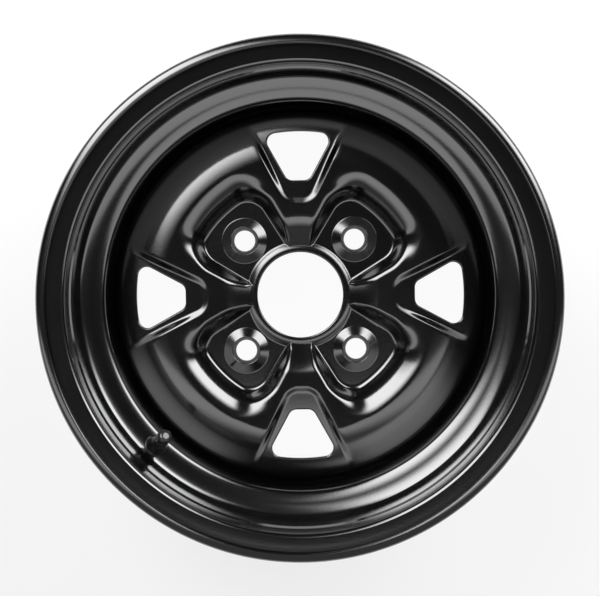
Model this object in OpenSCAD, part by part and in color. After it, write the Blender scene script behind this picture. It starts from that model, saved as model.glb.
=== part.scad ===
// Pressed-steel wheel for a utility vehicle: a rolled drop-centre rim, a stamped four-bolt disc
// welded into its well, and a snap-in tyre valve. Millimetres, Z along the spin axis, outer face up.
// The hub's mounting face is the plane z = 0.

/* [Rim] */
// Width between the tyre's two flange faces
rim_w = 177.8; // [170:0.1:190]
// From the hub's mounting face out to the front flange face
front_reach = 127; // [122:0.5:132]
// Diameter of the bead seats
bead_d = 304; // [300:0.5:308]
// Height of the flanges above the bead seats
flange_h = 15.5; // [14:0.5:18]
// Thickness of the rim's sheet
rim_t = 2.5; // [2:0.1:3]
// How far the rolled lip stands out from its flange face
lip_out = 9.5; // [9:0.1:12]
// Width of the rolled lip, seen from the front
lip_w = 6.1; // [6:0.1:7.5]
// Bend radius where a flange meets its bead seat, at mid-sheet
root_round = 2; // [1.8:0.1:3]
// Height of the ridge that keeps the front bead in place
hump_h = 1.7; // [1:0.1:2.2]
// From the front flange face back to the ridge
hump_back = 22; // [20:0.5:28]
// Half the width of the ridge
hump_half = 5; // [4:0.25:6]
// Depth of the well below the bead seats, at its face
well_depth = 19; // [17.5:0.25:20]
// From the mounting face out to the well's front corner
well_front = 48.4; // [44:0.2:54]
// From the mounting face back to the well's rear corner
well_rear = 13; // [11:0.5:15]
// Steepness of the well's sides against the axis
well_deg = 55; // [50:1:60]
// Bend radius at the well's corners, at mid-sheet
well_round = 9; // [7:0.5:10]

/* [Hub fit] */
// Diameter of the centre bore
hub_bore_d = 60.7; // [58:0.1:62]
// Bolt circle
bolt_pcd = 110; // [108:0.5:112]
// Diameter of a bolt hole
bolt_d = 14.8; // [12.5:0.1:15.2]
// Diameter of a nut seat at its mouth
seat_d = 18.6; // [17:0.1:19]
// Angle of a nut seat's cone, from side to side
seat_deg = 60; // [58:1:90]
// Diameter of the raised boss round a bolt hole, at its foot
boss_d = 32; // [28:0.5:33]
// Width of the flat lip round the mouth of a nut seat
boss_lip = 0.35; // [0.2:0.05:0.6]
// Height of the raised boss
boss_h = 2.85; // [2.3:0.05:3]

/* [Disc] */
// Thickness of the disc's sheet
disc_t = 3.5; // [3:0.1:4]
// Gap between the disc's skirt and the well
press_gap = 0.1; // [0.05:0.05:0.2]
// How far the skirt reaches behind the mounting face
skirt_drop = 9; // [8:0.5:10]
// Outside radius of the shoulder that turns into the skirt
shoulder = 13; // [12:0.5:14]
// From the skirt in to where the shoulder's turn begins
shoulder_run = 8.9; // [8:0.1:10]
// Height of the shoulder over the bolt pads, there
shoulder_h = 8.3; // [7.8:0.1:9]
// Height of the collar round the bore over the pads
collar_h = 1.4; // [1.2:0.05:1.6]
// Width of the collar, from the bore to its foot
collar_w = 7.65; // [7.2:0.05:8.2]
// Steepness of the collar's wall
collar_deg = 21; // [19:0.5:24]
// Fillet at the crest of the collar
collar_round = 10; // [8:0.5:11]
// Height of the ribs between the pads
rib_h = 9.3; // [8.5:0.1:10]
// Length of the ramp from the collar up to a rib
rib_run = 19.5; // [18:0.5:22]
// Height of the lobes at their crest
lobe_h = 12.4; // [11.8:0.1:13]
// From the lobes' crest out to where the shoulder's turn begins
lobe_out = 26; // [24:0.5:28]
// Radius of the lobes' fall from their crest to the shoulder
lobe_round = 90; // [80:1:100]
// From the bolt circle out to a pad's outer edge
pad_reach = 21.6; // [20.5:0.1:22.5]
// Width of a pad at the bolt circle
pad_w = 45.2; // [43:0.2:47]
// How far each side of a pad flares
pad_deg = 13.2; // [10:0.2:15]
// Radius of a pad's corners
pad_round = 11; // [8:0.5:13]
// Steepness of the pressed wall outside a pad
wall_deg = 45; // [42:1:48]
// Fillet at the foot of that wall
foot_round = 4.2; // [3.5:0.1:5]
// Fillet at the crest of that wall
crest_round = 17; // [14:0.5:20]
// Steepness of the pressed walls between a pad and the ribs
side_deg = 54; // [50:1:58]
// Fillet at the foot of those walls
side_foot = 3; // [2.5:0.1:4]
// Fillet at the crest of those walls
side_crest = 5; // [4.5:0.1:6]

/* [Windows] */
// Height of the flat panels round the windows over the pads
panel_h = 9.7; // [9:0.1:10.2]
// From a window's inner edge in to the panel's inner end
panel_lead = 11.2; // [9:0.1:13]
// Half the width of a panel at its inner end
panel_half = 7.2; // [6:0.2:8]
// How far each side of a panel flares
panel_deg = 25.6; // [24:0.2:28]
// Corner radius of a panel's inner end
panel_round = 3; // [2:0.25:4]
// Width of the step from a panel up to the lobes
step_w = 5.2; // [4.5:0.1:6.5]
// Depth of the step at the crest of the lobes
step_h = 2.2; // [1.8:0.1:2.6]
// Length of a window along a radius
win_len = 36.1; // [34:0.1:38]
// From a window's outer edge out to where the shoulder's turn begins
win_edge = 7.8; // [6:0.1:10]
// Half the width of a window at its inner edge
win_half = 8; // [6:0.1:9]
// How far each side of a window flares
win_deg = 28.8; // [26:0.2:31]
// Corner radius of a window
win_round = 7; // [4:0.25:7.5]

/* [Welds] */
// Leg of a weld bead
weld_leg = 3.4; // [2.5:0.1:3.8]
// Length of a weld bead, as an angle
weld_deg = 46; // [30:1:60]

/* [Valve] */
// Direction of the valve round the wheel
valve_at = 225; // [0:1:359]
// Diameter of the valve hole
valve_hole = 11.5; // [11.3:0.1:12]
// Gap between the rubber and the rim
rubber_gap = 0.3; // [0.2:0.05:0.4]
// Diameter of the rubber's bulb on the outer side
bulb_d = 15; // [14:0.1:15.6]
// Diameter of the rubber's head inside the tyre
head_d = 15.4; // [14.5:0.1:15.8]
// Bare length of the stem above the rubber
thread_h = 5.2; // [4.5:0.1:6]
// Diameter of the rubber where it ends
rubber_top_d = 9.6; // [9.2:0.1:10]
// Diameter of the brass stem
stem_d = 7.7; // [7.5:0.1:8]
// Height of the stem above the rim
stem_h = 19; // [18.6:0.1:20]
// Diameter of the core's seat in the stem
core_d = 5.2; // [5:0.1:5.4]
// Gap round the core's moving pin
pin_gap = 0.25; // [0.2:0.05:0.3]
// Diameter of the core's pin
pin_d = 1; // [0.9:0.05:1.1]
// Travel of the core's pin
pin_travel = 1.2; // [0.8:0.1:1.3]
// Outside diameter of the cap
cap_d = 10.2; // [10:0.1:11]
// Thickness of the sealing washer in the cap
washer_t = 1.5; // [1.2:0.1:2]
// Thickness of the cap's roof
cap_roof = 1.2; // [1:0.1:1.6]
// Gap between the cap and the stem
cap_gap = 0.3; // [0.25:0.05:0.35]
// Number of grip flutes round the cap
cap_flutes = 12; // [8:1:16]

/* [Hidden] */
$fn = 96;

lobes = 4;
sector = 360 / lobes;
half_sector = sector / 2;

// rim, at mid-sheet
well_d = bead_d - 2 * well_depth;
bead_mid = bead_d / 2 - rim_t / 2;
well_mid = well_d / 2 + rim_t / 2;
top_mid = bead_d / 2 + flange_h - rim_t / 2;
lip_end = bead_d / 2 + flange_h - lip_w;
rear_reach = front_reach - rim_w;
lip_round = (lip_out - rim_t) / 2 - 0.02;
drop_run = (bead_mid - well_mid) / tan(well_deg);

// disc
hub_r = hub_bore_d / 2;
skirt_r = well_d / 2 - press_gap;
shoulder_c = skirt_r - shoulder;
shoulder_r = skirt_r - shoulder_run;
shoulder_deg = acos((shoulder_r - shoulder_c) / shoulder);
shoulder_z = disc_t + shoulder_h - shoulder * sin(shoulder_deg);
pad_foot = pad_w / 2 * cos(pad_deg) - bolt_pcd / 2 * sin(pad_deg);
collar_foot = hub_r + collar_w;
rib_foot = collar_foot - 2.5;
rib_r = rib_foot + rib_run;
rib_rise = (rib_h - collar_h) / rib_run;
pad_r = bolt_pcd / 2 + pad_reach;
lobe_r = shoulder_r - lobe_out;
win_out = shoulder_r - win_edge;
win_in = win_out - win_len;
panel_in = win_in - panel_lead;
wall_run = 22;
seat_h = (seat_d - bolt_d) / 2 / tan(seat_deg / 2);

// valve: its axis stands square on the well's front side, at the middle of that side
valve_lean = 90 - well_deg;
valve_r = (bead_mid + well_mid) / 2 - rim_t / 2 * sin(valve_lean);
valve_z = well_front + drop_run / 2 + rim_t / 2 * cos(valve_lean);
stem_r = stem_d / 2;
core_r = core_d / 2;
plug_top = stem_h - 1.1;
plug_low = plug_top - 3.6;
tube_low = plug_low - 5;
cup_h = 1;
ledge = tube_low - cup_h - pin_travel - 5.2;
pin_r = pin_d / 2;
pin_hole = pin_r + pin_gap;
cap_bore = stem_r + cap_gap;
rubber_h = stem_h - thread_h;
cap_low = rubber_h + 0.5;
washer_low = stem_h + cap_gap;
cap_top = washer_low + washer_t + cap_roof;

steel_paint = "#19191a";
black_rubber = "#141415";
brass = "#b28d46";
steel = "#9a9a98";
black_plastic = "#1c1c1d";

function clamp01(v) = max(0, min(1, v));

// Eased step from 0 at a to 1 at b
function ease(a, b, v) = let(s = clamp01((v - a) / (b - a))) s * s * (3 - 2 * s);

// Lower of two values, blended over k where they cross
function soft_min(a, b, k) = let(h = max(k - abs(a - b), 0) / k) min(a, b) - h * h * k / 4;

// n values after a, up to b
function span(a, b, n) = [for (i = [1 : n]) a + (b - a) * i / n];

function unit(v) = v / norm(v);

// Points of the arc that rounds corner b, between a and c, with radius r
function bend(a, b, c, r) =
    let(u = unit(a - b), v = unit(c - b))
    let(turn = 180 - acos(max(-1, min(1, u * v))))
    let(m = b + unit(u + v) * (r / cos(turn / 2)))
    let(s = b + u * (r * tan(turn / 2)) - m)
    let(side = sign(u[0] * v[1] - u[1] * v[0]))
    let(n = max(2, ceil(turn / 15)))
    [for (i = [0 : n]) let(t = -side * turn * i / n)
        m + [s[0] * cos(t) - s[1] * sin(t), s[0] * sin(t) + s[1] * cos(t)]];

// Path through corners given as [x, y, radius], each rounded by its radius
function bent(p) = [for (i = [0 : len(p) - 1]) let(q = [p[i][0], p[i][1]])
    each (i == 0 || i == len(p) - 1 || p[i][2] == 0
        ? [q]
        : bend([p[i - 1][0], p[i - 1][1]], q, [p[i + 1][0], p[i + 1][1]], p[i][2]))];

// The path moved to one side by d
function beside(p, d) = [for (i = [0 : len(p) - 1])
    let(a = unit(p[min(i + 1, len(p) - 1)] - p[min(i, len(p) - 2)]))
    let(b = unit(p[max(i, 1)] - p[max(i - 1, 0)]))
    let(m = unit(a + b))
    p[i] + [-m[1], m[0]] * (d / (m * a))];

function back(p) = [for (i = [len(p) - 1 : -1 : 0]) p[i]];

// Section of the rim at mid-sheet, from the front lip to the rear lip
rim_path = bent([
    [lip_end, front_reach + lip_out - rim_t / 2],
    [top_mid, front_reach + lip_out - rim_t / 2, lip_round],
    [top_mid, front_reach + rim_t / 2, lip_round],
    [bead_mid, front_reach + rim_t / 2, root_round],
    [bead_mid, front_reach - hump_back + hump_half, 5],
    [bead_mid + hump_h, front_reach - hump_back, 5],
    [bead_mid, front_reach - hump_back - hump_half, 5],
    [bead_mid, well_front + drop_run, well_round],
    [well_mid, well_front, well_round],
    [well_mid, -well_rear, well_round],
    [bead_mid, -well_rear - drop_run, well_round],
    [bead_mid, rear_reach - rim_t / 2, root_round],
    [top_mid, rear_reach - rim_t / 2, lip_round],
    [top_mid, rear_reach - lip_out + rim_t / 2, lip_round],
    [lip_end, rear_reach - lip_out + rim_t / 2]
]);

// Pressed wall at distance d from its foot: foot fillet, straight flank, crest fillet, level top
function press(d, h, foot, crest, deg) =
    let(y1 = foot * (1 - cos(deg)))
    let(r = min(crest, max(0.05, 0.98 * (h - y1) / (1 - cos(deg)))))
    let(x1 = foot * sin(deg), x2 = x1 + max(0, (h - y1 - r * (1 - cos(deg))) / tan(deg)))
    let(x3 = x2 + r * sin(deg))
    d <= 0 ? 0
        : d < x1 ? min(h, foot - sqrt(foot * foot - d * d))
        : d < x2 ? y1 + (d - x1) * tan(deg)
        : d < x3 ? h - r + sqrt(max(0, r * r - (x3 - d) * (x3 - d)))
        : h;

// Distance outside a region bounded by two edges, whose corner is rounded by c
function outside(a, b, c) =
    let(p = max(a + c, 0), q = max(b + c, 0)) sqrt(p * p + q * q) - c + min(max(a + c, b + c), 0);

// Distance from a bolt pad's edge; f is the angle from the nearest window's middle
function pad_dist(r, f) = outside(r * sin(half_sector - f - pad_deg) - pad_foot, r - pad_r, pad_round);

// Which wall of the pad lies there: 0 by a rib, 1 outside the pad
function pad_side(r, f) = ease(20, 77, atan2(max(0, r - pad_r + pad_round),
    max(0.001, r * sin(half_sector - f - pad_deg) - pad_foot + pad_round)));

// Distance from a window panel's edge
function panel_dist(r, f) =
    outside((r * sin(f) - panel_half) * cos(panel_deg) - (r * cos(f) - panel_in) * sin(panel_deg),
        panel_in - r * cos(f), panel_round);

// Height of the disc's rim over the pads: the shoulder's arc, and its tangent inward
function rim_side(r) = r > shoulder_r
    ? shoulder_z - disc_t + sqrt(max(0, shoulder * shoulder - (r - shoulder_c) * (r - shoulder_c)))
    : shoulder_h + (shoulder_r - r) / tan(shoulder_deg);

// Height of the lobes over the pads: up from the ribs to their crest, then a long fall
function crown_z(r) = rib_h + (lobe_h - rib_h) * (min(r, lobe_r) - rib_r) / (lobe_r - rib_r)
    - pow(max(0, r - lobe_r), 2) / (2 * lobe_round);

// Height of the lobes and ribs over the pads, with the ramp up from the collar and the rim's side
function lobe_z(r) = soft_min(
    soft_min(collar_h + (r - rib_foot) * rib_rise, crown_z(r), 4), rim_side(r), 1.5);

// Height of the panels over the pads; their step fades out on the shoulder
function panel_z(r) =
    soft_min(panel_h, rim_side(r) - step_h * (1 - ease(pad_r + 28, shoulder_r + 2, r)), 2);

// Outer face of the disc
function face_z(r, f) =
    let(low = panel_z(r))
    let(top = low + (lobe_z(r) - low) * ease(0, step_w, panel_dist(r, f)))
    let(d = pad_dist(r, f), s = pad_side(r, f))
    let(wall = press(d, top, side_foot, side_crest, side_deg) * (1 - s)
        + press(d, top, foot_round, crest_round, wall_deg) * s)
    disc_t + max(wall, press(collar_foot - r, collar_h, 1, collar_round, collar_deg));

// Angle of a direction from the nearest window's middle
function fold(a) = abs(((a + half_sector) % sector + sector) % sector - half_sector);

// Rear face of the disc: the lowest reach of balls with the sheet's thickness, rolled on the outer face
ball = [for (k = [0.5, 0.85], a = [0 : 45 : 315]) disc_t * k * [cos(a), sin(a)]];
function rear_z(r, a) = min([face_z(r, fold(a)) - disc_t,
    for (b = ball) let(p = [r + b[0], b[1]])
        face_z(norm(p), fold(a + atan2(p[1], p[0]))) - sqrt(disc_t * disc_t - b * b)]);

// Lines of the skin's mesh in half a sector: by the pad walls further in, by the panel's step further out
lines = 12;
in_steps = [25.5, 22.5, 19.5, 16.5, 13, 9.5, 6.5, 3.9, 2];
out_steps = [0, 0.3, 0.7, 1];
function pad_line(r, e) = half_sector - pad_deg - asin(min(0.7, (pad_foot + e) / r));
function panel_line(r, e) = panel_deg
    + asin(max(-0.7, (panel_half * cos(panel_deg) - panel_in * sin(panel_deg) + e) / r));
function in_line(r, j) = j == 0 ? 0
    : j > 8 ? half_sector - (half_sector - pad_line(r, 0)) * (lines - j) / 3
    : let(reach = r * sin(half_sector - pad_deg) - pad_foot) pad_line(r, in_steps[j] / 25.5 * reach);
function out_line(r, j) = j < 2 ? panel_line(r, 0) * j / 2
    : j < 6 ? panel_line(r, out_steps[j - 2] * step_w)
    : let(a = panel_line(r, step_w)) a + (half_sector - a) * (j - 5) / (lines - 5);
function line_at(r, j) = let(q = max(r, hub_r), s = ease(panel_in - 5, pad_r + 6, q))
    in_line(min(q, pad_r), j) * (1 - s) + out_line(max(q, panel_in), j) * s;

// All directions of a ring of the mesh, round the wheel
function ring_dirs(r) = [for (o = [0 : 2 * lobes - 1], j = [0 : lines - 1])
    o % 2 == 0 ? half_sector * o + line_at(r, j) : half_sector * (o + 1) - line_at(r, lines - j)];

face_rings = concat([hub_r - 3], span(collar_foot - 6, collar_foot, 5), span(collar_foot, pad_r, 10),
    span(pad_r, pad_r + 9, 4), span(pad_r + 9, pad_r + wall_run, 4), span(pad_r + wall_run, shoulder_r, 6));
rear_end = shoulder_r - disc_t * cos(shoulder_deg);
rear_rings = concat([hub_r - 3], span(collar_foot - 6, collar_foot, 3), span(collar_foot, pad_r, 6),
    span(pad_r, pad_r + 9, 3), span(pad_r + 9, pad_r + wall_run, 3), span(pad_r + wall_run, rear_end, 4));
turn_face = span(shoulder_deg, 0, 5);
turn_rear = span(shoulder_deg, 0, 3);

function ring(r, dirs, heights) = [for (i = [0 : len(dirs) - 1])
    [r * cos(dirs[i]), r * sin(dirs[i]), heights[i]]];
function flat_ring(r, dirs, z) = [for (a = dirs) [r * cos(a), r * sin(a), z]];

// Triangles between ring i and the next one of a skin that starts at point s; flip turns them over
function strip(s, i, m, flip) = [for (j = [0 : m - 1])
    let(a = s + i * m + j, b = s + i * m + (j + 1) % m, c = a + m, d = b + m)
    let(even = floor(j / lines) % 2 == 0)
    each (flip ? (even ? [[a, c, d], [a, d, b]] : [[a, c, b], [b, c, d]])
        : (even ? [[a, d, c], [a, b, d]] : [[a, b, c], [b, d, c]]))];

// Triangles that join ring s to ring t
function seam(s, t, m) = [for (j = [0 : m - 1]) let(k = (j + 1) % m)
    each [[s + j, t + k, s + k], [s + j, t + j, t + k]]];

// The disc's formed sheet, still without holes
module disc_skin() {
    m = 2 * lobes * lines;
    edge = ring_dirs(shoulder_r);
    face = concat(
        [for (r = face_rings) let(d = ring_dirs(r)) ring(r, d, [for (a = d) face_z(r, fold(a))])],
        [for (t = turn_face) flat_ring(shoulder_c + shoulder * cos(t), edge, shoulder_z + shoulder * sin(t))],
        [flat_ring(skirt_r, edge, -skirt_drop)]);
    inner = shoulder - disc_t;
    rear = concat(
        [for (r = rear_rings) let(d = ring_dirs(r)) ring(r, d, [for (a = d) rear_z(r, a)])],
        [for (t = turn_rear) flat_ring(shoulder_c + inner * cos(t), edge, shoulder_z + inner * sin(t))],
        [flat_ring(skirt_r - disc_t, edge, -skirt_drop)]);
    n = len(face) * m;
    polyhedron(
        points = [for (q = concat(face, rear)) each q],
        faces = concat(
            [for (i = [0 : len(face) - 2]) each strip(0, i, m, false)],
            [for (i = [0 : len(rear) - 2]) each strip(n, i, m, true)],
            seam(0, n, m),
            seam(n + (len(rear) - 1) * m, n - m, m)),
        convexity = 8);
}

// One window, as its outline
module window_outline() {
    reach = win_out + 10;
    half_out = win_half + (reach - win_in) * tan(win_deg);
    offset(r = win_round) offset(delta = -win_round) intersection() {
        polygon([[win_in, -win_half], [reach, -half_out], [reach, half_out], [win_in, win_half]]);
        circle(r = win_out, $fn = 180);
    }
}

// Copies of the children at each bolt hole
module at_bolts() {
    for (i = [0 : lobes - 1]) rotate([0, 0, half_sector + sector * i]) translate([bolt_pcd / 2, 0, 0]) children();
}

module rim_barrel() {
    color(steel_paint)
    difference() {
        rotate_extrude($fn = 144)
            polygon(concat(beside(rim_path, rim_t / 2), back(beside(rim_path, -rim_t / 2))));
        at_valve() translate([0, 0, -rim_t - 6]) cylinder(d = valve_hole, h = rim_t + 12);
    }
}

module wheel_disc() {
    boss_top = disc_t + boss_h;
    boss_r = seat_d / 2 + boss_lip;
    sunk = 1;
    color(steel_paint)
    difference() {
        union() {
            disc_skin();
            at_bolts() translate([0, 0, disc_t - sunk])
                cylinder(r1 = boss_d / 2 + sunk * (boss_d / 2 - boss_r) / boss_h, r2 = boss_r, h = boss_h + sunk);
        }
        translate([0, 0, -10]) cylinder(d = hub_bore_d, h = 40);
        at_bolts() {
            translate([0, 0, -1]) cylinder(d = bolt_d, h = boss_top + 2);
            translate([0, 0, boss_top - seat_h])
                cylinder(r1 = bolt_d / 2, r2 = bolt_d / 2 + (seat_h + 1) * tan(seat_deg / 2), h = seat_h + 1);
        }
        for (i = [0 : lobes - 1]) rotate([0, 0, sector * i])
            translate([0, 0, -5]) linear_extrude(40) window_outline();
    }
}

module disc_welds() {
    color(steel_paint)
    for (i = [0 : lobes - 1]) rotate([0, 0, half_sector + sector * i - weld_deg / 2])
        rotate_extrude(angle = weld_deg)
            polygon(concat([[well_d / 2, -skirt_drop], [skirt_r - weld_leg, -skirt_drop]],
                [for (t = [15 : 15 : 75]) [well_d / 2 - weld_leg * 1.02 * cos(t), -skirt_drop - weld_leg * 1.02 * sin(t)]],
                [[well_d / 2, -skirt_drop - weld_leg]]));
}

// Puts the children on the valve's axis, with z = 0 at the rim's face
module at_valve() {
    rotate([0, 0, valve_at]) translate([valve_r, 0, valve_z]) rotate([0, -valve_lean, 0]) children();
}

module valve_body() {
    low = -rim_t - rubber_gap;
    hole = valve_hole / 2 - 0.1;
    color(black_rubber)
    at_valve() rotate_extrude($fn = 64)
        polygon(bent([
            [stem_r, low - 4],
            [head_d / 2 - 0.6, low - 4, 0.8],
            [head_d / 2, low - 1, 1],
            [head_d / 2 - 1, low, 0.4],
            [hole, low, 0.2],
            [hole, rubber_gap, 0.2],
            [bulb_d / 2 - 0.4, rubber_gap, 0.3],
            [bulb_d / 2, 2.8, 1.6],
            [rubber_top_d / 2 + 0.5, rubber_h - 5.8, 4],
            [rubber_top_d / 2, rubber_h, 0.6],
            [stem_r, rubber_h]
        ]));
}

module valve_stem() {
    foot = -rim_t - rubber_gap - 5;
    color(brass)
    at_valve() rotate_extrude($fn = 64)
        polygon([
            [1.4, foot], [stem_r + 0.7, foot], [stem_r + 0.7, foot + 1], [stem_r, foot + 1],
            [stem_r, stem_h - 0.5], [stem_r - 0.5, stem_h], [core_r + 0.3, stem_h], [core_r, stem_h - 0.4],
            [core_r, plug_low - 1.6], [core_r - 0.45, plug_low - 3.4], [core_r - 0.45, ledge], [1.4, ledge]
        ]);
}

// Threaded plug of the core, with its two driving flats
module core_plug() {
    color(brass)
    at_valve() translate([0, 0, plug_low]) difference() {
        cylinder(r = core_r - 0.05, h = plug_top - plug_low, $fn = 48);
        translate([0, 0, -1]) cylinder(r = pin_hole, h = 8, $fn = 48);
        for (s = [-1, 1]) translate([s * (core_r - 0.3) - 1, -core_r, 1.6]) cube([2, 2 * core_r, 4]);
    }
}

module core_barrel() {
    color(brass)
    at_valve() translate([0, 0, tube_low]) difference() {
        union() {
            cylinder(r = core_r - 1, h = plug_low - tube_low, $fn = 48);
            cylinder(r = core_r - 0.7, h = 0.8, $fn = 48);
        }
        translate([0, 0, -1]) cylinder(r = pin_hole, h = 8, $fn = 48);
    }
}

// Tapered ring that seals the core in the stem
module core_seal() {
    color("#b8463a")
    at_valve() rotate_extrude($fn = 48)
        polygon([[core_r - 1, plug_low - 3.2], [core_r - 0.5, plug_low - 3.2],
            [core_r - 0.1, plug_low - 1.4], [core_r - 0.1, plug_low - 0.8], [core_r - 1, plug_low - 0.8]]);
}

// Spring under the core's cup, as a tube of round wire along a helix
module core_spring() {
    wire = 0.17;
    mid = core_r - 0.45 - wire - 0.2;
    turns = 4.5;
    steps = 45;
    sides = 5;
    height = tube_low - cup_h - pin_travel - 0.1 - ledge;
    low = ledge + wire;
    rise = height - 2 * wire;
    pts = [for (i = [0 : steps], k = [0 : sides - 1])
        let(a = 360 * turns * i / steps, b = 360 * k / sides, r = mid + wire * cos(b))
        [r * cos(a), r * sin(a), low + rise * i / steps + wire * sin(b)]];
    color(steel)
    at_valve() polyhedron(
        points = pts,
        faces = concat(
            [for (i = [0 : steps - 1], k = [0 : sides - 1])
                let(a = i * sides + k, b = i * sides + (k + 1) % sides)
                each [[a, b, b + sides], [a, b + sides, a + sides]]],
            [[for (k = [sides - 1 : -1 : 0]) k]],
            [[for (k = [0 : sides - 1]) steps * sides + k]]),
        convexity = 6);
}

module core_pin() {
    color(steel)
    at_valve() rotate_extrude($fn = 32)
        polygon([[0, ledge + 0.6], [pin_r, ledge + 0.6], [pin_r, stem_h - 0.7],
            [pin_r - 0.15, stem_h - 0.5], [0, stem_h - 0.5]]);
}

// Rubber cup on the pin, which closes the core from below
module core_cup() {
    color(black_rubber)
    at_valve() rotate_extrude($fn = 48)
        polygon([[pin_r, tube_low - cup_h], [core_r - 0.9, tube_low - cup_h], [core_r - 0.75, tube_low - 0.5],
            [core_r - 0.9, tube_low - 0.02], [pin_r, tube_low - 0.02]]);
}

module valve_cap() {
    color(black_plastic)
    at_valve() difference() {
        rotate_extrude($fn = 64)
            polygon(bent([[0, cap_low], [cap_d / 2 - 0.3, cap_low, 0.3], [cap_d / 2, cap_low + 0.6, 0.4],
                [cap_d / 2 - 0.2, cap_top - 1.6, 1.2], [cap_d / 2 - 2.4, cap_top, 2], [0, cap_top]]));
        translate([0, 0, cap_low - 1]) cylinder(r = cap_bore, h = cap_top - cap_roof - cap_low + 1, $fn = 64);
        for (i = [0 : cap_flutes - 1]) rotate([0, 0, 360 / cap_flutes * i])
            translate([cap_d / 2 + 0.25, 0, cap_low - 1]) cylinder(d = 1, h = cap_top - cap_low - 2.2, $fn = 24);
    }
}

// Sealing washer in the roof of the cap
module cap_washer() {
    color("#3a3a3a")
    at_valve() translate([0, 0, washer_low]) difference() {
        cylinder(r = cap_bore - 0.05, h = washer_t, $fn = 48);
        translate([0, 0, -1]) cylinder(r = core_r, h = washer_t + 2, $fn = 48);
    }
}

rim_barrel();
wheel_disc();
disc_welds();
valve_body();
valve_stem();
core_plug();
core_barrel();
core_seal();
core_spring();
core_pin();
core_cup();
valve_cap();
cap_washer();
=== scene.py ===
import math

import bmesh
import bpy
import numpy as np
from mathutils import Matrix, Vector


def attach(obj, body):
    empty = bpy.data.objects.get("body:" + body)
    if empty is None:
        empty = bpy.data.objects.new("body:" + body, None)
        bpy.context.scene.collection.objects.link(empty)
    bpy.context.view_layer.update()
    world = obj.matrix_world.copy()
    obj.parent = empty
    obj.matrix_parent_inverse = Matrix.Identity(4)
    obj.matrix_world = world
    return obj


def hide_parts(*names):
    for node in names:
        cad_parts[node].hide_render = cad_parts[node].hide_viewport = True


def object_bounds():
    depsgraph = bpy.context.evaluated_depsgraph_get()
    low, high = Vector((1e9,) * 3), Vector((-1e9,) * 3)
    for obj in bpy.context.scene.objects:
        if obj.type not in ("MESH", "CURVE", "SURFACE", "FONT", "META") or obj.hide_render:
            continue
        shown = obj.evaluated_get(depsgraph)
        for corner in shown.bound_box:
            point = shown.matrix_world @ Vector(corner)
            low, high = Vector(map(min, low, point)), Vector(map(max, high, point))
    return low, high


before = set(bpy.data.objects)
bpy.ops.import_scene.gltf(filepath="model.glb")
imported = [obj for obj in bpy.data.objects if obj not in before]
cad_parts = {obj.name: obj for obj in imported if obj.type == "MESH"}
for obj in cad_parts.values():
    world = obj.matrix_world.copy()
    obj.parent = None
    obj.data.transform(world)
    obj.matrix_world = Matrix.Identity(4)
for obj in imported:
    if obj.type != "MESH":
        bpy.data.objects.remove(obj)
cad_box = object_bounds()

# Sizes of the CAD part, in millimetres and degrees
BEAD_R, WELL_R, RIM_T = 152.0, 133.0, 2.5
FRONT, WIDTH, LIP_OUT, LIP_W, FLANGE_H = 127.0, 177.8, 9.5, 6.1, 15.5
HUMP_BACK, HUMP_HALF, HUMP_ROUND = 22.0, 5.0, 5.0
WELL_MID_Z, WELL_REAR, WELL_DEG, WELL_ROUND = 54.2, 13.0, 55.0, 9.0
HUB_R, BOLT_R, DISC_T = 30.35, 55.0, 3.5
SHOULDER, SHOULDER_R, SHOULDER_H = 13.0, 124.0, 8.3
SKIRT_R, SKIRT_DROP = 132.9, 9.0
COLLAR_H, COLLAR_FOOT, COLLAR_DEG, COLLAR_ROUND = 1.4, 38.0, 21.0, 10.0
RIB_H, RIB_FOOT = 9.3, 35.5
BOSS_R, BOSS_H, SEAT_LIP_R, BOLT_HOLE_R = 16.0, 2.85, 9.65, 7.4
LOBE_H, LOBE_R, LOBE_ROUND, LOBE_BLEND = 12.4, 98.0, 90.0, 1.5
PAD_R, PAD_W, PAD_DEG, PAD_ROUND = 76.6, 45.2, 13.2, 11.0
WALL_DEG, WALL_RUN, FOOT_ROUND = 45.0, 22.0, 4.2
SIDE_DEG, SIDE_FOOT, SIDE_CREST = 54.0, 3.0, 5.0
PANEL_H, PANEL_IN, PANEL_HALF, PANEL_DEG, PANEL_ROUND = 9.7, 68.9, 7.2, 25.6, 3.0
STEP_W, STEP_H, PANEL_BLEND = 5.2, 2.2, 2.0
WIN_IN, WIN_OUT, WIN_HALF, WIN_DEG, WIN_ROUND = 80.1, 116.2, 8.0, 28.8, 7.0
WELD_LEG, WELD_DEG = 3.4, 46.0
VALVE_AT, VALVE_LEAN, VALVE_R, VALVE_Z = 225.0, 35.0, 141.783, 55.2
STEM_R, STEM_H, STEM_BORE, CORE_R = 3.85, 19.0, 1.4, 2.6
RUBBER_H, RUBBER_GAP, RUBBER_TOP_R, BULB_R, HEAD_R = 13.8, 0.3, 4.8, 7.5, 7.7
CAP_R, CAP_LOW, CAP_TOP, CAP_BORE, CAP_ROOF, CAP_FLUTES = 5.1, 14.3, 22.0, 4.15, 1.2, 12

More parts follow.
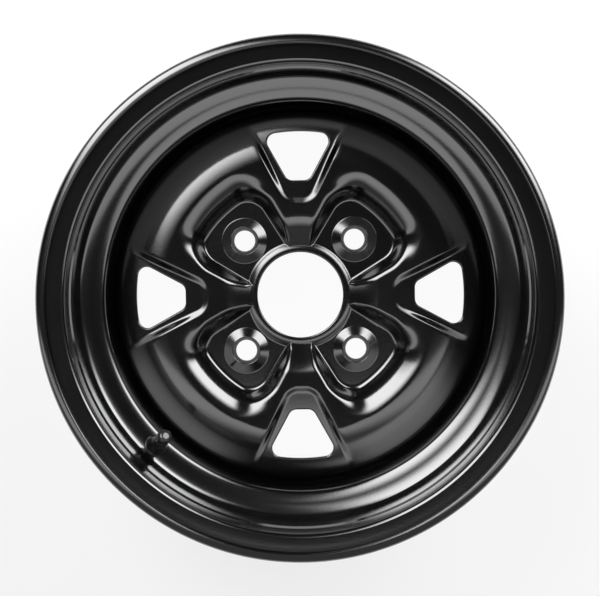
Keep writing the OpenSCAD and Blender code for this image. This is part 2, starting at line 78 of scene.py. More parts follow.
# Sizes that are drawn otherwise than in the CAD part, or only here
HUMP_H = 0.9
LIP_LEAN, LIP_TIGHTER, LIP_EDGE = 0.75, 0.5, 0.5
FLANGE_DISH, FLANGE_ROOT, SEAT_TAPER = 0.65, 1.8, 0.5
DROP_MID_DEG, DROP_END_DEG, DROP_IN, DROP_FLARE = 11.5, 20.0, 1.0, 1.9
DROP_UP, DROP_DOWN, DROP_UP_ROUND, DROP_DOWN_ROUND = 3.0, 2.8, 36.0, 31.0
DROP_TOP_ROUND, DROP_FOOT_ROUND = 6.7, 2.8
RIB_R, RIB_BLEND, CREST_ROUND = 51.0, 2.5, 21.0
BORE_EDGE, WIN_TRIM, WIN_STRIP, WIN_FACE_EDGE, WIN_REAR_EDGE = 0.8, 0.8, 1.0, 0.9, 0.6
RIPPLE, RIPPLE_SHARE, WELD_END = 2.6, 0.07, 4.0
THREAD_PITCH, THREAD_DEPTH = 0.794, 0.42
FLUTE_DEPTH, FLUTE_HALF = 0.24, 0.55
SEAM_H, SEAM_HALF = 0.09, 0.25

QUARTER, HALF = math.pi / 2, math.pi / 4
SHOULDER_C = SKIRT_R - SHOULDER
SHOULDER_T = math.acos((SHOULDER_R - SHOULDER_C) / SHOULDER)
SHOULDER_Z = DISC_T + SHOULDER_H - SHOULDER * math.sin(SHOULDER_T)
PAD_T, PANEL_T = math.radians(PAD_DEG), math.radians(PANEL_DEG)
PAD_FOOT = PAD_W / 2 * math.cos(PAD_T) - BOLT_R * math.sin(PAD_T)
RIB_RISE = (RIB_H - COLLAR_H) / (RIB_R - RIB_FOOT)
VALVE_PLACE = (Matrix.Rotation(math.radians(VALVE_AT), 4, "Z") @ Matrix.Translation((VALVE_R, 0, VALVE_Z))
               @ Matrix.Rotation(math.radians(-VALVE_LEAN), 4, "Y"))


# Materials

def linear(code):
    """The linear colour of an sRGB hex value."""
    parts = [int(code[i:i + 2], 16) / 255 for i in (1, 3, 5)]
    return [c / 12.92 if c <= 0.04045 else ((c + 0.055) / 1.055) ** 2.4 for c in parts] + [1.0]


def add(tree, kind, inputs=(), **settings):
    """Adds a node with its settings, and gives its inputs values or links."""
    node = tree.nodes.new(kind)
    for name, value in settings.items():
        setattr(node, name, value)
    for name, value in dict(inputs).items():
        if isinstance(value, bpy.types.NodeSocket):
            tree.links.new(value, node.inputs[name])
        else:
            node.inputs[name].default_value = value
    return node


def finish_of(name):
    """A new material, its tree, its shader and its Object coordinates."""
    mat = bpy.data.materials.new(name)
    mat.use_nodes = True
    tree = mat.node_tree
    return mat, tree, tree.nodes["Principled BSDF"], tree.nodes.new("ShaderNodeTexCoord").outputs["Object"]


def per(size):
    """Noise scale for a pattern of that size in millimetres."""
    return 1000.0 / size


def powder_coat():
    """Polyester powder coat, baked gloss black: deep black with clear reflections, which the orange peel
    of the melted powder breaks up a little. Peel is 1.8 mm across, drawn higher than real to show."""
    mat, tree, shader, at = finish_of("gloss_black_powder_coat")
    peel = add(tree, "ShaderNodeTexNoise",
               {"Vector": at, "Scale": per(1.8), "Detail": 2.0, "Roughness": 0.45})
    flow = add(tree, "ShaderNodeTexNoise", {"Vector": at, "Scale": per(45), "Detail": 2.0})
    tone = add(tree, "ShaderNodeValToRGB", {"Fac": flow.outputs["Fac"]})
    tone.color_ramp.elements[0].color = linear("#050505")
    tone.color_ramp.elements[1].color = linear("#080808")
    sheen = add(tree, "ShaderNodeMapRange", {"Value": flow.outputs["Fac"], "To Min": 0.14, "To Max": 0.2})
    bump = add(tree, "ShaderNodeBump",
               {"Height": peel.outputs["Fac"], "Strength": 1.0, "Distance": 0.000032})
    tree.links.new(tone.outputs["Color"], shader.inputs["Base Color"])
    tree.links.new(sheen.outputs["Result"], shader.inputs["Roughness"])
    tree.links.new(bump.outputs["Normal"], shader.inputs["Normal"])
    shader.inputs["IOR"].default_value = 1.52
    shader.inputs["Coat Weight"].default_value = 1.0
    shader.inputs["Coat Roughness"].default_value = 0.1
    shader.inputs["Coat IOR"].default_value = 1.6
    return mat


def moulded_rubber():
    """Moulded EPDM rubber: black with a satin skin, and the fine grain of the mould."""
    mat, tree, shader, at = finish_of("moulded_black_rubber")
    grain = add(tree, "ShaderNodeTexNoise", {"Vector": at, "Scale": per(0.6), "Detail": 3.0})
    bloom = add(tree, "ShaderNodeTexNoise", {"Vector": at, "Scale": per(6), "Detail": 2.0})
    tone = add(tree, "ShaderNodeValToRGB", {"Fac": bloom.outputs["Fac"]})
    tone.color_ramp.elements[0].color = linear("#0f0f10")
    tone.color_ramp.elements[1].color = linear("#18181a")
    gloss = add(tree, "ShaderNodeMapRange", {"Value": bloom.outputs["Fac"], "To Min": 0.26, "To Max": 0.38})
    bump = add(tree, "ShaderNodeBump",
               {"Height": grain.outputs["Fac"], "Strength": 0.6, "Distance": 0.00002})
    tree.links.new(tone.outputs["Color"], shader.inputs["Base Color"])
    tree.links.new(gloss.outputs["Result"], shader.inputs["Roughness"])
    tree.links.new(bump.outputs["Normal"], shader.inputs["Normal"])
    shader.inputs["IOR"].default_value = 1.52
    return mat


def moulded_nylon():
    """Injection-moulded nylon: the cap's polished black skin, with slight flow marks."""
    mat, tree, shader, at = finish_of("moulded_black_nylon")
    flow = add(tree, "ShaderNodeTexNoise", {"Vector": at, "Scale": per(1.5), "Detail": 3.0})
    tone = add(tree, "ShaderNodeValToRGB", {"Fac": flow.outputs["Fac"]})
    tone.color_ramp.elements[0].color = linear("#1b1b1c")
    tone.color_ramp.elements[1].color = linear("#282829")
    gloss = add(tree, "ShaderNodeMapRange", {"Value": flow.outputs["Fac"], "To Min": 0.16, "To Max": 0.26})
    bump = add(tree, "ShaderNodeBump",
               {"Height": flow.outputs["Fac"], "Strength": 0.4, "Distance": 0.00002})
    tree.links.new(tone.outputs["Color"], shader.inputs["Base Color"])
    tree.links.new(gloss.outputs["Result"], shader.inputs["Roughness"])
    tree.links.new(bump.outputs["Normal"], shader.inputs["Normal"])
    shader.inputs["IOR"].default_value = 1.53
    return mat


def turned_metal(name, dark, light, low, high):
    """Metal turned on a lathe: fine tool rings with a brushed gleam. Rings are 0.15 mm apart."""
    mat, tree, shader, at = finish_of(name)
    lean = add(tree, "ShaderNodeMapping", {"Vector": at, "Scale": (per(6), per(6), per(0.15))},
               vector_type="POINT")
    rings = add(tree, "ShaderNodeTexNoise", {"Vector": lean.outputs["Vector"], "Scale": 1.0, "Detail": 2.0})
    tone = add(tree, "ShaderNodeValToRGB", {"Fac": rings.outputs["Fac"]})
    tone.color_ramp.elements[0].color = linear(dark)
    tone.color_ramp.elements[1].color = linear(light)
    gloss = add(tree, "ShaderNodeMapRange", {"Value": rings.outputs["Fac"], "To Min": low, "To Max": high})
    tree.links.new(tone.outputs["Color"], shader.inputs["Base Color"])
    tree.links.new(gloss.outputs["Result"], shader.inputs["Roughness"])
    shader.inputs["Metallic"].default_value = 1.0
    return mat


def seal_plastic():
    """Moulded red fluoropolymer of the core's seal: waxy, with a soft mottle."""
    mat, tree, shader, at = finish_of("moulded_red_seal")
    mottle = add(tree, "ShaderNodeTexNoise", {"Vector": at, "Scale": per(1.0), "Detail": 2.0})
    tone = add(tree, "ShaderNodeValToRGB", {"Fac": mottle.outputs["Fac"]})
    tone.color_ramp.elements[0].color = linear("#8e2f26")
    tone.color_ramp.elements[1].color = linear("#a94236")
    tree.links.new(tone.outputs["Color"], shader.inputs["Base Color"])
    shader.inputs["Roughness"].default_value = 0.45
    return mat


# Shapes

def bent(corners, fine=6.0):
    """Points of a path through corners (x, y) or (x, y, radius), rounded in steps of fine degrees."""
    path = []
    for i, corner in enumerate(corners):
        b = Vector(corner[:2])
        if len(corner) < 3 or i in (0, len(corners) - 1):
            path.append(b)
            continue
        u = (Vector(corners[i - 1][:2]) - b).normalized()
        v = (Vector(corners[i + 1][:2]) - b).normalized()
        turn = math.pi - u.angle(v)
        mid = b + (u + v).normalized() * (corner[2] / math.cos(turn / 2))
        arm = b + u * (corner[2] * math.tan(turn / 2)) - mid
        side = math.copysign(1, u.x * v.y - u.y * v.x)
        steps = max(3, math.ceil(math.degrees(turn) / fine))
        for k in range(steps + 1):
            path.append(mid + Matrix.Rotation(-side * turn * k / steps, 2) @ arm)
    return path


def spun(section, steps, angle=2 * math.pi, closed=True):
    """A bmesh of a section in (radius, height), spun round Z."""
    bm = bmesh.new()
    ring = [bm.verts.new((p[0], 0, p[1])) for p in section]
    ends = ring[1:] + ring[:1] if closed else ring[1:]
    edges = [bm.edges.new(pair) for pair in zip(ring, ends)]
    bmesh.ops.spin(bm, geom=ring + edges, cent=(0, 0, 0), axis=(0, 0, 1), angle=angle, steps=steps,
                   use_merge=angle > 6.28, use_normal_flip=False, use_duplicate=False)
    return bm


def piece(bm, name, body, finish, node, place=None):
    """Turns a bmesh in millimetres into a piece that stands for a CAD node."""
    bmesh.ops.remove_doubles(bm, verts=bm.verts, dist=0.0005)
    bmesh.ops.recalc_face_normals(bm, faces=bm.faces)
    if place is not None:
        bmesh.ops.transform(bm, matrix=place, verts=bm.verts)
    bmesh.ops.scale(bm, vec=(0.001, 0.001, 0.001), verts=bm.verts)
    mesh = bpy.data.meshes.new(name)
    bm.to_mesh(mesh)
    bm.free()
    mesh.shade_smooth()
    obj = bpy.data.objects.new(name, mesh)
    bpy.context.scene.collection.objects.link(obj)
    mesh.materials.append(finish)
    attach(obj, body)
    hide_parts(node)
    return obj


def spread(stops, counts):
    """Values from stop to stop, with so many steps in each stretch."""
    runs = [np.linspace(a, b, n + 1)[1:] for a, b, n in zip(stops, stops[1:], counts)]
    return np.concatenate([stops[:1]] + runs)


def evened(points, gap):
    """A closed outline with its points at an even gap."""
    closed = np.vstack([points, points[:1]])
    run = np.concatenate([[0], np.cumsum(np.linalg.norm(np.diff(closed, axis=0), axis=1))])
    at = np.linspace(0, run[-1], int(run[-1] / gap), endpoint=False)
    return np.stack([np.interp(at, run, closed[:, 0]), np.interp(at, run, closed[:, 1])], 1)


def ways_out(outline):
    """The way out of the hole at each point of a counter-clockwise outline."""
    step = np.roll(outline, -1, 0) - np.roll(outline, 1, 0)
    return np.stack([step[:, 1], -step[:, 0]], 1) / np.linalg.norm(step, axis=1)[:, None]


def punched(bm, skin, side, outline):
    """Cuts a hole out of one skin, and smooths the mesh round it.
    Returns the hole's edge in order, the edge's points, and the way out at each."""
    margin, edge_reach, even_rounds, smooth_rounds, smooth_width = 5, 4, 8, 4, 2
    out = ways_out(outline)
    low, high = outline.min(0) - margin, outline.max(0) + margin
    near = [v for v in bm.verts if v[skin] == side]
    near = [v for v in near if low[0] < v.co.x < high[0] and low[1] < v.co.y < high[1]]
    at = np.array([v.co.xy for v in near])
    first = ((at[:, None] - outline[None]) ** 2).sum(2).argmin(1)
    depth = dict(zip(near, ((at - outline[first]) * out[first]).sum(1)))
    first = dict(zip(near, first))
    faces = dict.fromkeys(f for v in near for f in v.link_faces if all(w in depth for w in f.verts))
    gone = [f for f in faces if sum(depth[v] for v in f.verts) < 0]
    bmesh.ops.delete(bm, geom=gone, context="FACES")
    kept = [v for v in near if v.is_valid]
    kept = [v for v in kept if abs(depth[v]) < edge_reach]
    edges = dict.fromkeys(e for v in kept for e in v.link_edges if e.is_boundary)
    loop = list(next(iter(edges)).verts)
    while True:
        ahead = [e.other_vert(loop[-1]) for e in loop[-1].link_edges if e in edges]
        ahead = [v for v in ahead if v is not loop[-2]]
        if ahead[0] is loop[0]:
            break
        loop.append(ahead[0])
    count = len(outline)
    turn = np.array([first[v] for v in loop], float)
    hops = (np.diff(turn) + count / 2) % count - count / 2
    if hops.sum() < 0:
        loop.reverse()
        turn = turn[::-1].copy()
        hops = (np.diff(turn) + count / 2) % count - count / 2
    turn = np.concatenate([turn[:1], turn[0] + np.cumsum(hops)])
    for _ in range(even_rounds):
        before, after = np.roll(turn, 1), np.roll(turn, -1)
        before[0] -= count
        after[-1] += count
        turn = (before + after) / 2
    base = np.floor(turn).astype(int)
    part = (turn - base)[:, None]
    edge = outline[base % count] * (1 - part) + outline[(base + 1) % count] * part
    away = out[base % count] * (1 - part) + out[(base + 1) % count] * part
    for v, p in zip(loop, edge):
        v.co.x, v.co.y = p
    rim = set(loop)
    near = loop
    for _ in range(smooth_width):
        near = list(dict.fromkeys(near + [e.other_vert(v) for v in near for e in v.link_edges]))
    near = [v for v in near if v not in rim]
    for _ in range(smooth_rounds):
        for v in near:
            around = [e.other_vert(v).co for e in v.link_edges]
            v.co.x = sum(c.x for c in around) / len(around)
            v.co.y = sum(c.y for c in around) / len(around)
    return loop, edge, away


def drawn(bm, skin, loop, rings):
    """Extrudes a closed edge through further rings of points, and returns the last edge."""
    for ring in rings:
        edges = [bm.edges.get(pair) for pair in zip(loop, loop[1:] + loop[:1])]
        made = bmesh.ops.extrude_edge_only(bm, edges=edges)["geom"]
        new = {v for v in made if isinstance(v, bmesh.types.BMVert)}
        loop = [next(w for w in (e.other_vert(v) for e in v.link_edges) if w in new) for v in loop]
        for v, p in zip(loop, ring):
            v.co = p
            v[skin] = 0
    return loop


def bridged(bm, one, two):
    """Joins two closed edges."""
    edges = [bm.edges.get(pair) for loop in (one, two) for pair in zip(loop, loop[1:] + loop[:1])]
    bmesh.ops.bridge_loops(bm, edges=edges)


# The disc's pressed form, in the words of the CAD part

def ease(a, b, v):
    """A soft step from 0 at a to 1 at b."""
    s = np.clip((v - a) / (b - a), 0, 1)
    return s * s * (3 - 2 * s)


def soft_min(a, b, k):
    """The lower of two heights, blended where they are less than k apart."""
    h = np.maximum(k - np.abs(a - b), 0) / k
    return np.minimum(a, b) - h * h * k / 4


def press(d, h, foot, crest, deg):
    """A pressed wall at distance d from its foot."""
    t = math.radians(deg)
    y1 = foot * (1 - math.cos(t))
    r = np.minimum(crest, np.maximum(0.05, 0.98 * (h - y1) / (1 - math.cos(t))))
    x1 = foot * math.sin(t)
    x2 = x1 + np.maximum(0, (h - y1 - r * (1 - math.cos(t))) / math.tan(t))
    x3 = x2 + r * math.sin(t)
    low = np.minimum(h, foot - np.sqrt(foot ** 2 - np.clip(d, 0, x1) ** 2))
    crown = h - r + np.sqrt(np.maximum(0, r * r - (x3 - d) ** 2))
    flank = y1 + (d - x1) * math.tan(t)
    return np.where(d <= 0, 0, np.where(d < x1, low, np.where(d < x2, flank, np.where(d < x3, crown, h))))


def outside(a, b, c):
    """Distance outside a region with two edges and a rounded corner."""
    a, b = a + c, b + c
    return np.hypot(np.maximum(a, 0), np.maximum(b, 0)) - c + np.minimum(np.maximum(a, b), 0)


def rim_side(r):
    """Height of the disc's outer slope and of the shoulder that turns into the skirt."""
    turn = SHOULDER_Z - DISC_T + np.sqrt(np.maximum(0, SHOULDER ** 2 - (r - SHOULDER_C) ** 2))
    return np.where(r > SHOULDER_R, turn, SHOULDER_H + (SHOULDER_R - r) / math.tan(SHOULDER_T))


def face_z(x, y):
    """Height of the disc's outer face."""
    r = np.hypot(x, y)
    f = np.abs((np.arctan2(y, x) + HALF) % QUARTER - HALF)
    pad = outside(r * np.sin(HALF - f - PAD_T) - PAD_FOOT, r - PAD_R, PAD_ROUND)
    along, aside = r * np.cos(f) - PANEL_IN, r * np.sin(f) - PANEL_HALF
    panel = outside(aside * math.cos(PANEL_T) - along * math.sin(PANEL_T), -along, PANEL_ROUND)
    side = rim_side(r)
    crown = RIB_H + (LOBE_H - RIB_H) * np.minimum(r - RIB_R, LOBE_R - RIB_R) / (LOBE_R - RIB_R)
    crown = crown - np.maximum(0, r - LOBE_R) ** 2 / (2 * LOBE_ROUND)
    rib = soft_min(COLLAR_H + (r - RIB_FOOT) * RIB_RISE, crown, RIB_BLEND)
    lobe = soft_min(rib, side, LOBE_BLEND)
    low = soft_min(PANEL_H, side - STEP_H * (1 - ease(PAD_R + 28, SHOULDER_R + 2, r)), PANEL_BLEND)
    top = low + (lobe - low) * ease(0, STEP_W, panel)
    across = np.maximum(r * np.sin(HALF - f - PAD_T) - PAD_FOOT + PAD_ROUND, 0)
    ahead = np.maximum(r - PAD_R + PAD_ROUND, 0)
    turn = ease(0.35, 1.35, np.arctan2(ahead, across + 1e-9))
    wall = (press(pad, top, SIDE_FOOT, SIDE_CREST, SIDE_DEG) * (1 - turn)
            + press(pad, top, FOOT_ROUND, CREST_ROUND, WALL_DEG) * turn)
    return DISC_T + np.maximum(wall, press(COLLAR_FOOT - r, COLLAR_H, 1.0, COLLAR_ROUND, COLLAR_DEG))


def rear_z(x, y):
    """Height of the disc's rear face: the lowest reach of balls as large as the sheet is thick,
    rolled on the outer face."""
    z = face_z(x, y) - DISC_T
    for k in (0.5, 0.85):
        reach, sink = DISC_T * k, DISC_T * math.sqrt(1 - k * k)
        for a in np.arange(0, 2 * math.pi, HALF):
            z = np.minimum(z, face_z(x + reach * math.cos(a), y + reach * math.sin(a)) - sink)
    return z


# Lines of the skin's mesh: by the pads' walls further in, by the panels' steps further out
LINES = spread((0, 2, 5, 12), (18, 12, 24))
IN_STEPS = np.array([25.5, 22.5, 19.5, 16.5, 13, 9.5, 6.5, 3.9, 2])
OUT_STEPS = np.array([0, 0.3, 0.7, 1])
FACE_UP = 1000.0


def line_dirs(r):
    """Directions of the mesh lines across half a sector at one radius."""
    q, p = min(max(r, HUB_R), PAD_R), max(r, PANEL_IN)
    reach = q * math.sin(HALF - PAD_T) - PAD_FOOT
    edge = HALF - PAD_T - math.asin(min(0.7, PAD_FOOT / q))
    wall = HALF - PAD_T - np.arcsin(np.minimum(0.7, (PAD_FOOT + IN_STEPS / IN_STEPS[0] * reach) / q))
    inner = np.concatenate([wall, HALF - (HALF - edge) * np.array([1, 2 / 3, 1 / 3, 0])])
    inner[0] = 0
    shift = PANEL_HALF * math.cos(PANEL_T) - PANEL_IN * math.sin(PANEL_T)
    step = PANEL_T + np.arcsin(np.maximum(-0.7, (shift + OUT_STEPS * STEP_W) / p))
    lobe = step[-1] + (HALF - step[-1]) * np.arange(1, 8) / 7
    outer = np.concatenate([step[0] * np.array([0, 0.5]), step, lobe])
    s = ease(PANEL_IN - 5, PAD_R + 6, max(r, HUB_R))
    return np.interp(LINES, np.arange(13), inner * (1 - s) + outer * s)


def window_outline():
    """Outline of the window on +X: a flared slot with an arc outside and rounded corners."""
    t = math.radians(WIN_DEG)
    side = Vector((math.cos(t), math.sin(t)))
    start = Vector((WIN_IN, WIN_HALF)) + Vector((math.sin(t), -math.cos(t))) * WIN_ROUND
    inner = start + side * ((WIN_IN + WIN_ROUND - start.x) / side.x)
    b = start.dot(side)
    run = -b + math.sqrt(b * b - start.length_squared + (WIN_OUT - WIN_ROUND) ** 2)
    outer = start + side * run
    end = math.atan2(outer.y, outer.x)
    points = [(WIN_OUT * math.cos(a), WIN_OUT * math.sin(a)) for a in np.linspace(-end, end, 60)]
    for mid, a, z in ((outer, end, t + QUARTER), (inner, t + QUARTER, math.pi)):
        points += [mid + Vector((math.cos(q), math.sin(q))) * WIN_ROUND for q in np.linspace(a, z, 24)]
    for mid, a, z in ((inner, math.pi, 3 * QUARTER - t), (outer, 3 * QUARTER - t, 2 * math.pi - end)):
        mid = Vector((mid.x, -mid.y))
        points += [mid + Vector((math.cos(q), math.sin(q))) * WIN_ROUND for q in np.linspace(a, z, 24)]
    return np.array([tuple(p) for p in points])


def disc_section():
    """Section of the disc from the bore round both faces, which lie far up and down until drawn."""
    turns = [math.radians(a) for a in (0, 22.5, 45, 67.5)]
    bore = [(HUB_R + BORE_EDGE * (1 - math.cos(a)), BORE_EDGE * (1 - math.sin(a))) for a in turns]
    collar_stops = (HUB_R + BORE_EDGE, COLLAR_FOOT - 5, COLLAR_FOOT + 0.5)
    face_rows = spread(collar_stops + (PAD_R, PAD_R + WALL_RUN, SHOULDER_R), (2, 11, 33, 25, 25))
    rear_end = SHOULDER_R - DISC_T * math.cos(SHOULDER_T)
    rear_rows = spread((HUB_R + BORE_EDGE, COLLAR_FOOT, PAD_R, rear_end), (7, 17, 25))
    arc = [SHOULDER_T * (1 - k / 10) for k in range(1, 11)]
    inner, within, end = SHOULDER - DISC_T, SKIRT_R - DISC_T, -SKIRT_DROP
    section = [(HUB_R, COLLAR_H + DISC_T / 2)]
    section += [(r, COLLAR_H + DISC_T - z) for r, z in bore]
    section += [(r, FACE_UP) for r in face_rows]
    section += [(SHOULDER_C + SHOULDER * math.cos(a), FACE_UP) for a in arc[:-1]]
    section += [(SKIRT_R, z) for z in np.linspace(SHOULDER_Z, end + 0.7, 5)]
    section += [(SKIRT_R - 0.35, end + 0.2), (SKIRT_R - 0.9, end)]
    section += [(within + 0.9, end), (within + 0.2, end + 0.25), (within, end + 0.9)]
    for a in arc[-1:] + arc[::2][::-1]:
        section.append((SHOULDER_C + inner * math.cos(a), SHOULDER_Z + inner * math.sin(a)))
    section += [(r, -FACE_UP) for r in rear_rows[::-1]]
    section += [(r, COLLAR_H + z) for r, z in bore[::-1]]
    return section


def turned_to_lines(bm, skin, columns):
    """Marks both faces, and turns each point to its mesh line's direction at that radius."""
    dirs = {}
    for v in bm.verts:
        v[skin] = 1 if v.co.z > FACE_UP / 2 else 2 if v.co.z < -FACE_UP / 2 else 0
        r = v.co.xy.length
        if r < HUB_R + 0.5 * BORE_EDGE or r > SHOULDER_R:
            key = SHOULDER_R if r > SHOULDER_R else HUB_R
        else:
            key = round(r, 3)
        if key not in dirs:
            half = line_dirs(key)
            dirs[key] = np.concatenate([half[:-1], QUARTER - half[:0:-1]])
        k = round(math.atan2(v.co.y, v.co.x) / (2 * math.pi) * columns) % columns
        a = QUARTER * (k // (columns // 4)) + dirs[key][k % (columns // 4)]
        v.co.x, v.co.y = r * math.cos(a), r * math.sin(a)


def window_cut(bm, skin, hole):
    """Punches one window: an even strip and a rounded edge on each face, and the wall between them."""
    rounds = [math.radians(a) for a in (22.5, 45, 67.5, 90)]
    ends = []
    for side, height, size, sign in ((1, face_z, WIN_FACE_EDGE, -1), (2, rear_z, WIN_REAR_EDGE, 1)):
        loop, at, out = punched(bm, skin, side, hole + ways_out(hole) * (size + WIN_STRIP))
        rings = []
        for share in (0.4, 0.8, 1.0):
            now = at - out * share * WIN_STRIP
            z = height(now[:, 0], now[:, 1])
            rings.append(np.column_stack([now, z]))
        for a in rounds:
            sunk = z + sign * size * (1 - math.cos(a))
            rings.append(np.column_stack([now - out * size * math.sin(a), sunk]))
        ends.append(drawn(bm, skin, loop, rings))
    bridged(bm, *ends)


def bolt_cut(bm, skin, mid):
    """Punches one bolt hole: the raised boss with its nut seat in front, a plain edge behind."""
    circle = np.linspace(0, 2 * math.pi, 240, endpoint=False)
    circle = np.stack([np.cos(circle), np.sin(circle)], 1)
    boss = bent([(BOSS_R + 0.9, DISC_T), (BOSS_R, DISC_T, 1.6), (SEAT_LIP_R, DISC_T + BOSS_H, 0.55),
                 (BOLT_HOLE_R, 2.4, 0.7), (BOLT_HOLE_R, 1.7)], fine=9)
    behind = bent([(BOLT_HOLE_R + 0.8, 0), (BOLT_HOLE_R, 0, 0.4), (BOLT_HOLE_R, 1.4)], fine=15)
    ends = []
    for side, profile in ((1, boss), (2, behind)):
        loop, at, _ = punched(bm, skin, side, mid + circle * profile[0].x)
        out = (at - mid) / np.linalg.norm(at - mid, axis=1)[:, None]
        rings = [np.column_stack([mid + out * p.x, np.full(len(at), p.y)]) for p in profile[1:]]
        ends.append(drawn(bm, skin, loop, rings))
    bridged(bm, *ends)


def stamped_disc(finish):
    """The disc, pressed from one sheet: spun flat, punched, then drawn into its form."""
    columns = 8 * (len(LINES) - 1)
    bm = spun(disc_section(), steps=columns)
    skin = bm.verts.layers.int.new("skin")
    turned_to_lines(bm, skin, columns)
    window = evened(window_outline(), gap=0.35)
    window = window - ways_out(window) * WIN_TRIM
    for i in range(4):
        c, s = math.cos(i * QUARTER), math.sin(i * QUARTER)
        window_cut(bm, skin, window @ np.array([[c, s], [-s, c]]))
    for i in range(4):
        bolt_cut(bm, skin, BOLT_R * np.array([math.cos(HALF + i * QUARTER), math.sin(HALF + i * QUARTER)]))
    for side, height in ((1, face_z), (2, rear_z)):
        verts = [v for v in bm.verts if v[skin] == side]
        at = np.array([v.co.xy for v in verts])
        for v, z in zip(verts, height(at[:, 0], at[:, 1])):
            v.co.z = z
    return piece(bm, "stamped_disc", "wheel", finish, "wheel_disc")


def rim_path():
    """Middle of the rim's sheet, from the front lip to the rear one. The drop's front side is long:
    flatter in its middle and steeper at both ends."""
    bead, well, top = BEAD_R - RIM_T / 2, WELL_R + RIM_T / 2, BEAD_R + FLANGE_H - RIM_T / 2
    lip = BEAD_R + FLANGE_H - LIP_W
    roll = (LIP_OUT - RIM_T) / 2 - 0.02 - FLANGE_DISH / 2
    front, front_lip, hump = FRONT + RIM_T / 2, FRONT + LIP_OUT - RIM_T / 2, FRONT - HUMP_BACK
    rear, rear_lip = FRONT - WIDTH - RIM_T / 2, FRONT - WIDTH - LIP_OUT + RIM_T / 2
    flat, steep = math.tan(math.radians(DROP_MID_DEG)), math.tan(math.radians(DROP_END_DEG))
    mid, wide = (bead + well) / 2 - DROP_IN, bead + DROP_FLARE
    upper, lower = WELL_MID_Z + DROP_UP * flat, WELL_MID_Z - DROP_DOWN * flat
    rear_drop = (bead - well) / math.tan(math.radians(WELL_DEG))
    return bent([
        (lip, front_lip),
        (top, front_lip - LIP_LEAN, roll - LIP_TIGHTER),
        (top, front + FLANGE_DISH, roll - LIP_TIGHTER),
        (bead + SEAT_TAPER, front - FLANGE_DISH, FLANGE_ROOT),
        (bead, hump + HUMP_HALF, HUMP_ROUND),
        (bead + HUMP_H, hump, HUMP_ROUND),
        (bead, hump - HUMP_HALF, HUMP_ROUND),
        (wide, upper + (wide - mid - DROP_UP) * steep, DROP_TOP_ROUND),
        (mid + DROP_UP, upper, DROP_UP_ROUND),
        (mid - DROP_DOWN, lower, DROP_DOWN_ROUND),
        (well, lower - (mid - well - DROP_DOWN) * steep, DROP_FOOT_ROUND),
        (well, -WELL_REAR, WELL_ROUND),
        (bead, -WELL_REAR - rear_drop, WELL_ROUND),
        (bead + SEAT_TAPER, rear + FLANGE_DISH, FLANGE_ROOT),
        (top, rear - FLANGE_DISH, roll),
        (top, rear_lip, roll),
        (lip, rear_lip)])


def stepped(path, gap):
    """A path with its long stretches parted into steps of about the gap."""
    points = []
    for a, b in zip(path, path[1:]):
        parts = max(1, round((b - a).length / gap))
        points += [a + (b - a) * k / parts for k in range(parts)]
    return points + [path[-1]]


def rolled_rim(finish):
    """The hoop, rolled from one strip: lips, flanges, seats, ridge and drop centre, with eased edges."""
    path = stepped(rim_path(), gap=6)
    sides = [[], []]
    for i, p in enumerate(path):
        way = (path[min(i + 1, len(path) - 1)] - path[max(i - 1, 0)]).normalized()
        for side, sign in zip(sides, (1, -1)):
            side.append(p + Vector((-way.y, way.x)) * sign * RIM_T / 2)
    for side, sign in zip(sides, (1, -1)):
        for i, j in ((0, 1), (-1, -2)):
            way = (side[j] - side[i]).normalized()
            across = (sides[0][i] - sides[1][i]).normalized() * sign
            corner = side[i].copy()
            side[i] = corner + way * LIP_EDGE
            extra = [corner + (way - across) * LIP_EDGE * 0.3, corner - across * LIP_EDGE]
            side[:] = extra[::-1] + side if i == 0 else side + extra
    bm = spun(sides[0] + sides[1][::-1], steps=240)
    return piece(bm, "rolled_rim", "wheel", finish, "rim_barrel")


def weld_beads(finish):
    """Four weld beads behind the disc, with the ripples that the torch left and rounded ends."""
    bm = bmesh.new()
    span = math.radians(WELD_DEG)
    for i in range(4):
        arc = [math.radians(a) for a in np.linspace(0, 90, 9)]
        section = [(WELL_R + 0.3, -SKIRT_DROP + 0.3)]
        section += [(WELL_R - WELD_LEG * math.cos(a), -SKIRT_DROP - WELD_LEG * math.sin(a)) for a in arc]
        bead = spun(section, steps=130, angle=span)
        bmesh.ops.holes_fill(bead, edges=[e for e in bead.edges if e.is_boundary], sides=0)
        for v in bead.verts:
            a = math.atan2(v.co.y, v.co.x)
            r = v.co.xy.length
            end = min(a, span - a) * WELL_R / WELD_END
            swell = (1 if end > 1 else math.sqrt(max(0.0, 1 - (1 - end) ** 2))) * 0.98
            ripple = abs(math.sin(a * WELL_R / RIPPLE * math.pi + 0.35 * math.sin(a * 90)))
            size = swell * (1 - RIPPLE_SHARE + RIPPLE_SHARE * ripple) + 0.02
            new = WELL_R - (WELL_R - r) * size if r < WELL_R else r
            v.co.z = -SKIRT_DROP + (v.co.z + SKIRT_DROP) * (size if v.co.z < -SKIRT_DROP else 1)
            v.co.x, v.co.y = new * math.cos(a), new * math.sin(a)
        turn = Matrix.Rotation(HALF - span / 2 + i * QUARTER, 3, "Z")
        bmesh.ops.rotate(bead, cent=(0, 0, 0), matrix=turn, verts=bead.verts)
        mesh = bpy.data.meshes.new("bead")
        bead.to_mesh(mesh)
        bead.free()
        bm.from_mesh(mesh)
        bpy.data.meshes.remove(mesh)
    return piece(bm, "weld_beads", "wheel", finish, "disc_welds")


